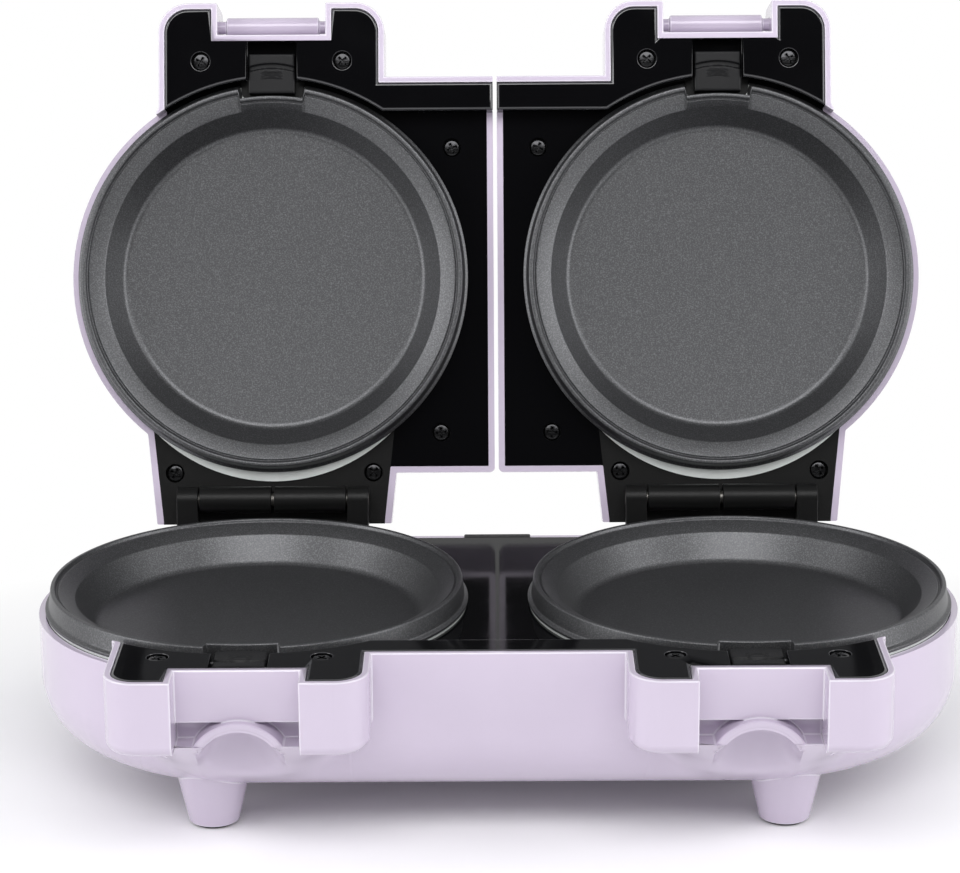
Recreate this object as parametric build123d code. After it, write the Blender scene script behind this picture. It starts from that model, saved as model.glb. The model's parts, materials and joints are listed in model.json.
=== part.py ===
from build123d import *
import os
import math

# A double snack maker: one long base with two round cooking plates, and two lids that
# open separately, each with its own plate. Everything is drawn with the lids shut and
# heights counted from the parting plane, where base and lids meet. The lids are then
# swung open, and the whole appliance is stood on the floor.
#
# One half of the appliance is drawn about its own plate centre. Its x axis runs from the
# outer end of the appliance towards the middle, y runs from front to back. The left half
# is placed as drawn and the right half is its mirror image.

# Cooking plates
plate_radius = 75.0        # outside of the raised bead round the plate
bead_width = 3.2
bead_height = 0.7
band_width = 5.7           # sloping band between the bead and the pan wall
band_fall = 3.0            # height of the band's inner edge below the bead
wall_lean = 6.8            # how far the pan wall leans in from top to floor
pan_depth = 14.3           # from the bead down to the cooking floor
plate_wall = 2.3
skirt_flare = 2.0          # how far the skirt's lower edge stands out past the bead
skirt_depth = 8.2          # from the bead down to that edge
skirt_wall = 1.6
notch_half_width = 12.0    # notch in the rim for the release catch
notch_inset = 4.4          # how far its flat is cut into the rim
notch_border = 2.6         # bead that follows the notch
notch_border_depth = 5.0

# Heater under each plate
seat_clearance = 0.3       # between a plate's skirt and the steel it rests over
steel_sheet = 0.8
bowl_flange = 7.5          # from the skirt's edge in to the bowl's side
flange_inset = 0.5         # flange's outer edge inside the skirt's edge
bowl_mouth_clearance = 1.2
heater_margin = 5.8        # from the edge of the cooking floor in to the heater
heater_width = 8.5
heater_height = 6.0
heater_bevel = 2.0
heater_clearance = 0.6     # between the heater and the plate's underside
terminal_radius = 2.6
terminal_length = 8.0
terminal_spread = 16.0
terminal_play = 0.5
thermostat_radius = 11.0
thermostat_flange = 4.0
thermostat_flange_height = 1.2
thermostat_height = 8.0
thermostat_play = 0.5
apron_reach = 3.6          # how far the steel apron shows past the skirt at the hinge side
apron_shift = 15.0         # middle of the apron's round edge behind the plate centre

# Housings
lid_gap = 1.6              # slot between the two lids
lid_open_angle = 107.0     # how far a lid leans back from shut
facing_gap = 0.8           # from the parting plane to either front strip
rim_gap = 0.15             # from the parting plane to either plate's rim
housing_clearance = 2.3    # from the skirt's edge to the outside of the round housings
middle_bar = 8.6           # from a round housing to the middle of the appliance
housing_wall = 2.6
rim_wall = 2.4             # lilac edge seen round the black covers
deck_sheet = 2.2
base_depth = 55.6          # underside of the base below the parting plane
base_bottom_radius = 24.0
lid_head_room = 2.05       # from a lid's thermostat to the inside of its roof
lid_top_radius = 14.0
lid_side_radius = 10.0
lid_corner_radius = 2.0
lid_front_inset = 0.9      # flat front of the lid's square side, in from the round side
lid_back_inset = 1.9       # flat back of the square side, in from the round side
strip_width = 14.3         # raised front strip beside the round covers
strip_clearance = 1.3      # between a plate's skirt and the raised strip
inner_cut = 0.65           # flat cut inside a rounded edge, as a share of its radius

# Handle ears, one pair on each lid and one pair on the base under it
ear_half_width = 44.5
ear_reach = 28.6           # how far the ears stand out in front of the round side
ear_corner = 11.6
ear_drop = 0.6             # underside of the base ears below the hook pockets
ear_edge_radius = 4.0
ear_step = 6.0             # top of the lid's ears below the lid's top
ear_top_radius = 7.0
ear_flare = 4.0            # fillet where an ear runs into the round side
gap_half_width = 21.3      # gap between the two ears
gap_length = 12.6          # from the ears' front back to the wall behind the gap

# Latch
latch_axis_gap = 4.4       # barrel axis in front of the wall behind the gap
latch_axis_up = 12.0       # barrel axis above the parting plane
latch_barrel_radius = 3.9
latch_side_gap = 3.0       # from the flap's side to the ear beside it
latch_stub_radius = 2.5
latch_stub_play = 0.06
latch_stub_grip = 1.7      # how far a stub goes into the ear wall
latch_sheet = 3.0
latch_strap_out = 2.0      # strap stands forward of the barrel axis
latch_swing = 180.0        # from holding the lid shut to folded right back
ledge_depth = 19.5         # underside of the base ledge below the parting plane
pocket_height = 7.5        # height of the hook pockets under the ledge
pocket_reach = 5.8         # how far the pockets go in behind the ledge
hook_play = 0.5
hook_height = 3.2
hook_width = 6.4
hook_reach = 3.2
finger_lip_below = 9.5     # lower edge of the flap below the ledge
finger_lip_out = 4.6
arch_side = 3.3            # from the foot of the arch to the ear beside it
arch_band = 3.0
arch_rise = 0.8            # how far the arch runs up into the ledge
scoop_lean = 20.0          # back of the finger scoop leans this far from upright
chin_reach = 3.3           # how far the chin stands out from the wall behind the gap
chin_bite = 0.4            # how far its slope cuts into the tub's rounded lower edge

# Release catch for each plate
catch_half_width = 9.0
catch_gap = 2.6            # from the notch's flat to the catch
catch_top = 1.9            # below the parting plane
catch_height = 5.3
catch_play = 0.12
catch_edge_radius = 1.0
catch_travel_room = 4.6    # from the catch to the end of its channel
channel_side_play = 1.0
channel_end_wall = 0.5
groove_radius = 24.0
groove_setback = 4.8       # crest of the groove behind the catch's front end
groove_width = 1.6
groove_depth = 1.1
rib_count = 3
rib_pitch = 1.7
rib_width = 0.8
rib_depth = 0.5
rib_half_length = 5.5

# Hinge
hinge_setback = 8.5        # hinge axis behind the round side of the housings
hinge_up = 3.2             # hinge axis above the parting plane
hinge_pin_radius = 2.5
hinge_pin_play = 0.05
knuckle_radius = 5.2
knuckle_inner = 0.6
knuckle_outer = 28.7
knuckle_gap = 0.6
outer_knuckle_width = 8.2
hinge_side_border = 11.0   # from the hinge screws to the root of the hinge side
hinge_taper = 4.0          # how much narrower the hinge side is at its end
hinge_tail = 9.6           # end of the hinge side behind the hinge axis
hinge_block_sheet = 5.0
hinge_step = 9.0           # top of the lid's hinge side below the lid's top
hinge_shelf = 13.6         # shelf of the base behind the plates, below the parting plane
hinge_shelf_height = 24.4
hinge_edge_radius = 5.0

# Feet
foot_height = 16.0
foot_out = 12.7            # foot outside of the plate's centre line
foot_front_inset = 23.8    # front feet in from the round side
foot_back_inset = 7.3      # back feet, under the hinge sides
foot_bottom_radius = 8.9
foot_top_radius = 12.6
foot_wall = 2.0
foot_root = 12.0           # how far a front foot runs up inside the underside
pad_border = 1.7
pad_height = 2.0
pad_sunk = 1.0

# Screws
screw_head_radius = 3.3
screw_head_height = 2.0
screw_head_edge = 0.8
screw_slot_width = 0.9
screw_slot_depth = 1.0
screw_shank_radius = 1.5
screw_length = 11.0
screw_play = 0.1
screw_hole_play = 0.4
screw_sunk = 1.4           # top of a screw head below its cover
screw_tip_room = 1.0       # from a hinge screw's tip to the inside of the roof
boss_radius = 4.4
well_wall = 1.2            # wall and floor of a screw's well under the lid cover
front_screw_x = 27.9
front_screw_inset = 23.0   # lid's front screws behind the ears' front
deck_screw_inset = 26.2    # the same on the base
side_screw_in = 16.3       # side screws in from the lid's square side
side_screw_front = 27.2    # front one behind the square side's front
corner_screw_in = 21.1     # back one in from the square side
corner_screw_back = 15.8   # back one in front of the square side's back
hinge_screw_out = 1.7      # hinge screws outside of the outer knuckles
hinge_screw_front = 10.6   # in front of the hinge axis
bracket_screw_back = 3.2   # behind the hinge axis

# Small fittings
lens_radius = 3.6
lens_collar = 0.8
lens_length = 8.0
lens_proud = 1.0
lens_spacing = 13.0
lens_inset = 27.3          # lamps behind the lid's round front
bush_half_width = 13.0
bush_height = 15.0
bush_proud = 2.5
bush_tail = 6.0
bush_shoulder = 4.0
bush_bore = 3.7
vent_count = 6
vent_pitch = 8.0
vent_width = 3.0
vent_length = 34.0
block_length = 30.0        # ceramic terminal block
block_width = 16.0
block_height = 14.0
block_hole_radius = 2.2

# Worked out from the sizes above: plates and what is under them
wall_top_radius = plate_radius - bead_width - band_width
floor_radius = wall_top_radius - wall_lean
skirt_radius = plate_radius + skirt_flare
notch_face = plate_radius - notch_inset
skirt_bottom = rim_gap + skirt_depth
flange_face = skirt_bottom + seat_clearance
cover_face = flange_face + steel_sheet
cover_back = cover_face + deck_sheet
plate_bottom = rim_gap + pan_depth + plate_wall
heater_outer = floor_radius - heater_margin
heater_inner = heater_outer - heater_width
heater_face = plate_bottom + heater_clearance
bowl_floor = heater_face + heater_height
bowl_radius = skirt_radius - bowl_flange
opening_radius = bowl_radius + bowl_mouth_clearance
apron_radius = skirt_radius + apron_reach - apron_shift

# Worked out: housings
parting_height = base_depth + foot_height
housing_radius = skirt_radius + housing_clearance
half_pitch = housing_radius + middle_bar
plate_pitch = 2 * half_pitch
lid_side = half_pitch - lid_gap / 2
lid_height = bowl_floor + thermostat_height + lid_head_room + housing_wall
lid_front = housing_radius - lid_front_inset
lid_back = housing_radius - lid_back_inset
strip_back = housing_radius - strip_width
strip_edge = skirt_radius + strip_clearance

# Worked out: ears and latch
ear_front = housing_radius + ear_reach
ear_height = lid_height - ear_step
ear_root = math.sqrt((housing_radius - housing_wall) ** 2 - (ear_half_width + ear_flare) ** 2)
gap_back = ear_front - gap_length
panel_half_width = ear_half_width - rim_wall
panel_front = ear_front - rim_wall
gap_wall_face = gap_back - rim_wall
gap_side_face = gap_half_width + rim_wall
latch_axis_out = gap_back + latch_axis_gap
latch_half_width = gap_half_width - latch_side_gap
pocket_depth = ledge_depth + pocket_height
ear_depth = pocket_depth + ear_drop
finger_lip_drop = ledge_depth + finger_lip_below
arch_radius = gap_half_width - arch_side
arch_middle = ledge_depth - arch_rise + arch_radius
chin_front = gap_back + chin_reach

# Worked out: release catch
catch_inner = notch_face + catch_gap
channel_outer = gap_wall_face - channel_end_wall
catch_outer = channel_outer - catch_travel_room
catch_floor = catch_top + catch_height
channel_half_width = catch_half_width + channel_side_play
groove_crest = catch_outer - groove_setback

# Worked out: hinge, feet and fittings
hinge_back = housing_radius + hinge_setback
hinge_end = hinge_back + hinge_tail
hinge_screw_x = knuckle_outer + knuckle_gap + outer_knuckle_width + hinge_screw_out
hinge_root_half = hinge_screw_x + hinge_side_border
hinge_end_half = hinge_root_half - hinge_taper
hinge_root = math.sqrt((housing_radius - housing_wall) ** 2 - hinge_root_half ** 2)
hinge_lid_height = lid_height - hinge_step
hinge_shelf_depth = hinge_shelf + hinge_shelf_height
foot_across = half_pitch + foot_out
foot_front = housing_radius - foot_front_inset
foot_back = housing_radius - foot_back_inset
pad_radius = foot_bottom_radius - pad_border
screw_hole_radius = screw_head_radius + screw_hole_play
front_screw_y = front_screw_inset - ear_front
deck_screw_y = deck_screw_inset - ear_front
side_screws = [
    (lid_side - side_screw_in, side_screw_front - lid_front),
    (lid_side - corner_screw_in, lid_back - corner_screw_back),
]
hinge_screw_y = hinge_back - hinge_screw_front
hinge_screw_top = cover_face + screw_sunk
hinge_screw_length = hinge_lid_height - housing_wall - screw_tip_room - hinge_screw_top - screw_head_height
bracket_screw_y = hinge_back + bracket_screw_back
well_depth = screw_sunk + screw_head_height + well_wall
lens_y = lens_inset - housing_radius


def block(x0, x1, y0, y1, z0, z1):
    """A plain block between two corners."""
    size = Box(x1 - x0, y1 - y0, z1 - z0, align=(Align.MIN, Align.MIN, Align.MIN))
    return Pos(x0, y0, z0) * size


def area(x0, x1, y0, y1):
    """A flat rectangle between two corners."""
    return Pos((x0 + x1) / 2, (y0 + y1) / 2) * Rectangle(x1 - x0, y1 - y0)


def slab(sketch, z0, z1):
    """A flat outline given thickness between two heights."""
    return extrude(Pos(0, 0, z0) * sketch, z1 - z0)


def post(x, y, radius, z0, z1):
    """An upright cylinder between two heights."""
    return Pos(x, y, z0) * Cylinder(radius, z1 - z0, align=(Align.CENTER, Align.CENTER, Align.MIN))


def rod(x0, x1, y, z, radius):
    """A cylinder that lies along x."""
    return Pos((x0 + x1) / 2, y, z) * Rot(0, 90, 0) * Cylinder(radius, x1 - x0)


def turned(points):
    """A round piece from half its section, given as radius and height."""
    return revolve(Plane.XZ * make_face(Polyline(*points, close=True)), Axis.Z)


def upside_down(shape):
    """The lid's version of a piece drawn for the base."""
    return mirror(shape, Plane.XY)


def edges_at(shape, height):
    """The edges that lie flat at one height."""
    return shape.edges().filter_by_position(Axis.Z, height - 0.001, height + 0.001)


# Outlines shared by lids and base

def ear_outline(half_width, front, corner):
    """One pair of ears seen from above, before the gap between them is taken out."""
    outline = area(-half_width, half_width, -front, -ear_root)
    front_corners = outline.vertices().sort_by(Axis.Y)[:2]
    return fillet(front_corners, corner)


def gap_outline(half_width, back):
    """The gap between two ears, where the latch lies."""
    return area(-half_width, half_width, -ear_front - 5, -back)


def flared_ears(low, high):
    """The outside of the ears, with a flare where each runs into the round housing."""
    joined = slab(ear_outline(ear_half_width, ear_front, ear_corner) + Circle(housing_radius), low, high)
    upright = joined.edges().filter_by(Axis.Z)
    at_side = [e for e in upright if abs(abs(e.center().X) - ear_half_width) < 0.01]
    meeting = [e for e in at_side if -ear_front + ear_corner + 0.1 < e.center().Y < -ear_root - 0.1]
    joined = fillet(meeting, ear_flare)
    reach = ear_half_width + 2 * ear_flare
    return joined & block(-reach, reach, -ear_front - 1, -ear_root, low, high)


def beside_ears(low, high):
    """The space outside the ears, where no upright wall goes."""
    far = ear_half_width + 4 * ear_flare
    side = block(ear_half_width + ear_flare / 4, far, -ear_front, 0, low, high)
    return side + mirror(side, Plane.YZ)


def ear_panel_outline():
    """The inside of the ear walls, with the gap and its walls left out."""
    panel = ear_outline(panel_half_width, panel_front, ear_corner - rim_wall)
    return panel - gap_outline(gap_side_face, gap_wall_face)


def hinge_outline(inset):
    """The tapering hinge side behind a plate."""
    root = hinge_root_half - inset
    end = hinge_end_half - inset
    back = hinge_end - inset
    return make_face(Polyline((-root, hinge_root), (root, hinge_root), (end, back), (-end, back), close=True))


def channel(low, high):
    """The channel in which a release catch slides."""
    return block(-channel_half_width, channel_half_width, -channel_outer, -ear_root, low, high)


# Cooking plate, drawn as the lower one with its pan facing up

def plate():
    rim = plate_radius
    bead_inner = plate_radius - bead_width
    band_back = plate_wall * 1.1
    section = [
        (0, -pan_depth),
        (floor_radius, -pan_depth),
        (wall_top_radius, -band_fall),
        (bead_inner, -bead_height),
        (bead_inner, 0),
        (rim, 0),
        (skirt_radius, -skirt_depth),
        (skirt_radius - skirt_wall, -skirt_depth),
        (rim - skirt_wall, -bead_height - band_back),
        (wall_top_radius + band_back, -band_fall - band_back),
        (floor_radius + plate_wall, -pan_depth - plate_wall),
        (0, -pan_depth - plate_wall),
    ]
    body = turned(section)
    border_half = notch_half_width + notch_border
    border_inner = notch_face - notch_border
    border = block(-border_half, border_half, -rim, -border_inner, -notch_border_depth, 0)
    body += border & post(0, 0, rim, -notch_border_depth, 0)
    body -= block(-notch_half_width, notch_half_width, -skirt_radius - 1, -notch_face, -skirt_depth - 1, 1)
    return Pos(0, 0, -rim_gap) * body


# Steel bowl, heater and thermostat

def bowl():
    inner = bowl_radius - steel_sheet
    section = [
        (skirt_radius - flange_inset, -flange_face),
        (inner, -flange_face),
        (inner, -bowl_floor),
        (thermostat_radius + thermostat_play, -bowl_floor),
        (thermostat_radius + thermostat_play, -bowl_floor - steel_sheet),
        (bowl_radius, -bowl_floor - steel_sheet),
        (bowl_radius, -cover_face),
        (skirt_radius - flange_inset, -cover_face),
    ]
    apron = Pos(0, apron_shift) * Circle(apron_radius) - Circle(bowl_radius)
    shape = turned(section) + slab(apron, -cover_face, -flange_face)
    for x in (-terminal_spread, terminal_spread):
        hole_y = heater_middle_y(x)
        shape -= post(x, hole_y, terminal_radius + terminal_play, -bowl_floor - 2 * steel_sheet, -heater_face)
    return shape


def heater_middle_y(x):
    """Where a terminal at x leaves the middle of the heater ring."""
    middle = (heater_inner + heater_outer) / 2
    return math.sqrt(middle ** 2 - x ** 2)


def heater():
    section = [
        (heater_inner, -bowl_floor),
        (heater_outer, -bowl_floor),
        (heater_outer, -heater_face - heater_bevel),
        (heater_outer - heater_bevel, -heater_face),
        (heater_inner + heater_bevel, -heater_face),
        (heater_inner, -heater_face - heater_bevel),
    ]
    ring = turned(section)
    for x in (-terminal_spread, terminal_spread):
        ring += post(x, heater_middle_y(x), terminal_radius, -bowl_floor - terminal_length, -bowl_floor + 1)
    return ring


def thermostat():
    flange = thermostat_radius + thermostat_flange
    section = [
        (0, -heater_face),
        (thermostat_radius * 0.7, -heater_face),
        (thermostat_radius, -bowl_floor + thermostat_flange_height),
        (flange, -bowl_floor + thermostat_flange_height),
        (flange, -bowl_floor),
        (thermostat_radius, -bowl_floor),
        (thermostat_radius, -bowl_floor - thermostat_height),
        (0, -bowl_floor - thermostat_height),
    ]
    return turned(section)


# Release catch, drawn for the base

def catch():
    body = block(-catch_half_width, catch_half_width, -catch_outer, -catch_inner,
                 -catch_floor + catch_play, -catch_top)
    body = fillet(edges_at(body, -catch_top).filter_by(Axis.X), catch_edge_radius)
    centre_y = -groove_crest + groove_radius
    ring = Circle(groove_radius) - Circle(groove_radius - groove_width)
    front_half = area(-groove_radius, groove_radius, centre_y - groove_radius, centre_y)
    body -= slab(Pos(0, centre_y) * ring & front_half, -catch_top - groove_depth, 0)
    for index in range(rib_count):
        reach = groove_radius - groove_width - rib_pitch * (index + 1)
        rib = Circle(reach) - Circle(reach - rib_width)
        window = area(-rib_half_length, rib_half_length, -catch_outer, -catch_inner)
        body -= slab((Pos(0, centre_y) * rib) & window, -catch_top - rib_depth, 0)
    return body


# Screw, standing upright with the top of its head at the given place

def screw(x, y, top, direction=-1, length=screw_length):
    head = post(0, 0, screw_head_radius, 0, screw_head_height)
    head = fillet(head.edges().group_by(Axis.Z)[-1], screw_head_edge)
    reach = screw_head_radius * 0.6
    half = screw_slot_width / 2
    slot = block(-reach, reach, -half, half, screw_head_height - screw_slot_depth, screw_head_height + 1)
    head -= slot + Rot(0, 0, 90) * slot
    shank = post(0, 0, screw_shank_radius, -length, 0)
    whole = Pos(0, 0, -screw_head_height) * (head + shank)
    if direction > 0:
        whole = upside_down(whole)
    return Pos(x, y, top) * whole


# Base pieces

def on_left(shape):
    """A piece of one half, at its place on the left."""
    return Pos(-half_pitch, 0, 0) * shape


def on_right(shape):
    """The same piece mirrored to the right."""
    return mirror(on_left(shape), Plane.YZ)


def on_both(shape):
    return on_left(shape) + on_right(shape)


def base_outline(inset):
    return SlotCenterToCenter(plate_pitch, 2 * (housing_radius - inset))


def base_tub(inset, top, bottom):
    """The long round-ended body with its rounded bottom edge."""
    tub = slab(base_outline(inset), -bottom, -top)
    return fillet(edges_at(tub, -bottom), base_bottom_radius - inset)


def deck_outline():
    """The black deck seen from above, inside the lilac rim."""
    return base_outline(rim_wall) + on_both(ear_panel_outline())


def ear_block():
    """The two base ears as one block, with the flares where they leave the round end."""
    shape = slab(ear_outline(ear_half_width, ear_front, ear_corner), -ear_depth, -cover_face)
    low_edges = [e for e in edges_at(shape, -ear_depth) if e.center().Y < -ear_root - 1]
    return fillet(low_edges, ear_edge_radius) + flared_ears(-ear_depth + ear_edge_radius, -cover_face)


def hinge_side():
    """The part of the base behind a plate that carries the hinge."""
    shape = slab(hinge_outline(0), -hinge_shelf_depth, -hinge_shelf)
    low_edges = [e for e in edges_at(shape, -hinge_shelf_depth) if e.center().Y > hinge_root + 1]
    return chamfer(low_edges, hinge_edge_radius)


def arch():
    """The round arch over the finger scoop, as a bar that lies along y."""
    bar = Cylinder(arch_radius, 4 * arch_radius)
    return Pos(0, -gap_back, -arch_middle) * Rot(90, 0, 0) * bar


def chin():
    """The sloping lip under the gap, raised to an arch with a hollow for the finger.
    Its face runs down to meet the tub's rounded lower edge almost without a step."""
    round_y = housing_radius - base_bottom_radius
    round_z = base_depth - base_bottom_radius
    inner_radius = base_bottom_radius - chin_bite
    away = math.hypot(chin_front - round_y, round_z - pocket_depth)
    slope = math.asin(inner_radius / away) + math.atan2(round_z - pocket_depth, chin_front - round_y)
    run = math.sqrt(away ** 2 - inner_radius ** 2)
    foot_y = -chin_front + run * math.cos(slope)
    foot_z = -pocket_depth - run * math.sin(slope)
    profile = Polyline(
        (-gap_back + pocket_reach, -ledge_depth + 1),
        (-chin_front, -ledge_depth + 1),
        (-chin_front, -pocket_depth),
        (foot_y, foot_z),
        (-ear_root, foot_z),
        (-ear_root, -ledge_depth + 1),
        close=True,
    )
    half = gap_half_width
    shape = extrude(Plane.YZ * make_face(profile), half, both=True)
    below = block(-half, half, -ear_front, -ear_root + 1, -base_depth, -pocket_depth)
    return shape & (arch() + below)


def finger_scoop():
    """Hollow under the arch, as deep as the hook pockets at the top and running out
    on the chin's slope."""
    mouth = arch_radius - arch_band
    tunnel = Pos(0, -gap_back, -arch_middle) * Rot(90, 0, 0) * Cylinder(mouth, 4 * arch_radius)
    bar = Pos(0, -arch_radius, 0) * Cylinder(arch_radius, 6 * arch_radius)
    leaning = Pos(0, pocket_reach - gap_back, -arch_middle + mouth) * Rot(scoop_lean, 0, 0) * bar
    return tunnel & leaning


def hook_pockets():
    """The pockets behind the ledge, left and right of the arch."""
    pocket = block(-gap_half_width, gap_half_width, -gap_back - 1, -gap_back + pocket_reach,
                   -pocket_depth, -ledge_depth)
    return pocket - arch()


def gap_room(low, high):
    """The open space between two ears."""
    return block(-gap_half_width, gap_half_width, -ear_front - 5, -gap_back, low, high)


def foot_places():
    return [(x, y) for x in (-foot_across, foot_across) for y in (-foot_front, foot_back)]


def foot(y, inset, low):
    """A tapering foot, or the space inside it. The back feet run up into the hinge sides."""
    high = -base_depth + foot_root if y < 0 else -hinge_shelf_depth + hinge_edge_radius
    slope = (foot_top_radius - foot_bottom_radius) / foot_height
    bottom = foot_bottom_radius - inset
    top = bottom + slope * (high - low)
    return Pos(0, 0, low) * Cone(bottom, top, high - low, align=(Align.CENTER, Align.CENTER, Align.MIN))


def screw_boss(x, y, low, high):
    """A post for a screw, bored from its top."""
    bore = post(x, y, screw_shank_radius + screw_play, high - screw_length, high + 1)
    return post(x, y, boss_radius, low, high) - bore


def base_shell():
    foot_low = -parting_height + pad_height - pad_sunk
    half = ear_block() - gap_room(-base_depth, 5) + chin() + hinge_side()
    shell = base_tub(0, cover_face, base_depth) + on_both(half)
    for x, y in foot_places():
        shell += Pos(x, y, 0) * foot(y, 0, foot_low)

    # Inside of the tub, and the step on which the deck lies
    shell -= base_tub(housing_wall, cover_face - 1, base_depth - housing_wall)
    shell -= slab(deck_outline(), -cover_back, 0)

    # Inside of the ears, of the wall behind the gap and of the hinge sides
    side_room = slab(ear_panel_outline(), -ear_depth + housing_wall, -cover_back + 1)
    side_room -= block(-gap_side_face, gap_side_face, -ear_front, 0, -base_depth, 5)
    side_room -= post(0, 0, housing_radius - housing_wall - 1, -base_depth, 5)
    middle_room = block(-gap_half_width, gap_half_width, -gap_back + pocket_reach + 2 * housing_wall,
                        -housing_radius + housing_wall + 1, -pocket_depth, -cover_back + 1)
    hinge_room = slab(hinge_outline(housing_wall), -hinge_shelf_depth + hinge_edge_radius, 0)
    hinge_room &= block(-hinge_root_half, hinge_root_half, housing_radius, hinge_end, -base_depth, 0)
    shell -= on_both(side_room + middle_room + hinge_room)
    shell -= on_both(slab(bracket_outline(), -hinge_shelf - hinge_block_sheet, 0))
    shell -= on_both(hook_pockets() + finger_scoop())

    # Lilac wall that stands up round the ears and along the front
    ear_wall = flared_ears(-cover_back, -facing_gap) - slab(ear_panel_outline(), -base_depth, 0)
    ear_wall -= post(0, 0, strip_edge, -base_depth, 0)
    ear_wall -= gap_room(-base_depth, 5) + beside_ears(-cover_face, 0)
    ear_wall -= block(panel_half_width - 1, half_pitch, -housing_radius + rim_wall, -ear_root, -base_depth, 0)
    shell += on_both(ear_wall)
    front_wall = block(-half_pitch, half_pitch, -housing_radius, -housing_radius + rim_wall,
                       -cover_back, -facing_gap)
    ears_across = block(-panel_half_width, panel_half_width, -ear_front, 0, -base_depth, 5)
    shell += front_wall - on_both(ears_across)

    # Insides of the feet, with a shallow seat for each pad
    for x, y in foot_places():
        shell -= Pos(x, y, 0) * foot(y, foot_wall, foot_low + pad_sunk + foot_wall)
        shell -= post(x, y, pad_radius, foot_low - 1, foot_low + pad_sunk)

    # Vents under each plate and the opening for the cord bush
    slot = extrude(SlotOverall(vent_length, vent_width), housing_wall * 3, both=True)
    for side in (-1, 1):
        for index in range(vent_count):
            y = (index - (vent_count - 1) / 2) * vent_pitch
            shell -= Pos(side * half_pitch, y, -base_depth) * slot
    shell -= block(-bush_half_width, bush_half_width, housing_radius - housing_wall - 1, housing_radius + 1,
                   -cover_face - bush_height, 0)

    # Screw posts in the ears and in the hinge sides
    for x in (-front_screw_x, front_screw_x):
        shell += on_both(screw_boss(x, deck_screw_y, -ear_depth + 1, -cover_back))
    for x in (-hinge_screw_x, hinge_screw_x):
        shell += on_both(screw_boss(x, bracket_screw_y, -hinge_shelf_depth + hinge_edge_radius - 1,
                                    -hinge_shelf - hinge_block_sheet))
    return shell


def sunk_hole(x, y, face, depth):
    """A stepped hole for a screw head below a face, through a cover of the given depth."""
    seat = face - screw_sunk - screw_head_height
    wide = post(x, y, screw_hole_radius, seat, face + 1)
    return wide + post(x, y, screw_shank_radius + screw_play, face - depth - 1, face + 1)


def base_deck():
    sheet = slab(deck_outline(), -cover_back, -cover_face)
    bar = area(-half_pitch, half_pitch, -housing_radius + rim_wall, -strip_back)
    strip = on_both(ear_panel_outline()) + bar
    strip -= on_both(Circle(strip_edge))
    deck = sheet + slab(strip, -cover_face, -facing_gap)
    deck -= on_both(post(0, 0, opening_radius, -cover_back - 1, 0))
    deck -= on_both(channel(-catch_floor, 5))
    depth = cover_back - facing_gap
    for x in (-front_screw_x, front_screw_x):
        deck -= on_both(sunk_hole(x, deck_screw_y, -facing_gap, depth))
    return deck


def hinge_bracket():
    """Bracket with the two outer knuckles, on the shelf behind a base plate."""
    plate_part = slab(bracket_outline(), -hinge_shelf - hinge_block_sheet, -hinge_shelf)
    arm_profile = Polyline(
        (hinge_back - knuckle_radius, hinge_up),
        (hinge_back + knuckle_radius * 0.3, hinge_up - knuckle_radius * 0.9),
        (hinge_back, -hinge_shelf),
        (hinge_back - hinge_setback + knuckle_gap, -hinge_shelf),
        close=True,
    )
    inner = knuckle_outer + knuckle_gap
    outer = inner + outer_knuckle_width
    knuckle = rod(inner, outer, hinge_back, hinge_up, knuckle_radius)
    knuckle += Pos(inner, 0, 0) * extrude(Plane.YZ * make_face(arm_profile), outer_knuckle_width)
    bracket = plate_part + knuckle + mirror(knuckle, Plane.YZ)
    bracket -= rod(-outer - 1, outer + 1, hinge_back, hinge_up, hinge_pin_radius)
    for x in (-hinge_screw_x, hinge_screw_x):
        bracket -= sunk_hole(x, bracket_screw_y, -hinge_shelf, hinge_block_sheet)
    return bracket


def bracket_outline():
    """The shelf behind a base plate, inside its lilac wall."""
    behind = area(-hinge_root_half, hinge_root_half, housing_radius, hinge_end)
    return hinge_outline(rim_wall) & behind


def hinge_pin():
    reach = knuckle_outer + knuckle_gap + outer_knuckle_width
    return rod(-reach, reach, hinge_back, hinge_up, hinge_pin_radius)


def foot_pads():
    pads = Part()
    for x, y in foot_places():
        pads += post(x, y, pad_radius, -parting_height, -parting_height + pad_height)
    return pads


def cord_bush():
    """Bush in the back wall where the mains cord goes in."""
    inside = housing_radius - rim_wall
    bush = block(-bush_half_width, bush_half_width, inside, housing_radius + bush_proud,
                 -cover_face - bush_height, -cover_face)
    tail_half = bush_half_width - bush_shoulder
    bush += block(-tail_half, tail_half, inside - bush_tail, inside, -cover_face - bush_height, -cover_back)
    middle = -cover_face - bush_height / 2 - 1
    bore = Pos(0, inside, middle) * Rot(90, 0, 0) * Cylinder(bush_bore, housing_radius)
    return bush - bore


def terminal_block():
    """Ceramic block on the floor of the base, where the heaters' leads meet."""
    floor = -base_depth + housing_wall
    body = block(-block_length / 2, block_length / 2, -block_width / 2, block_width / 2, floor, floor + block_height)
    for index in range(3):
        x = (index - 1) * block_length / 3
        hole = Cylinder(block_hole_radius, block_width + 2)
        body -= Pos(x, 0, floor + block_height / 2) * Rot(90, 0, 0) * hole
    return body


# Lid pieces, drawn shut over the left half

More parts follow.
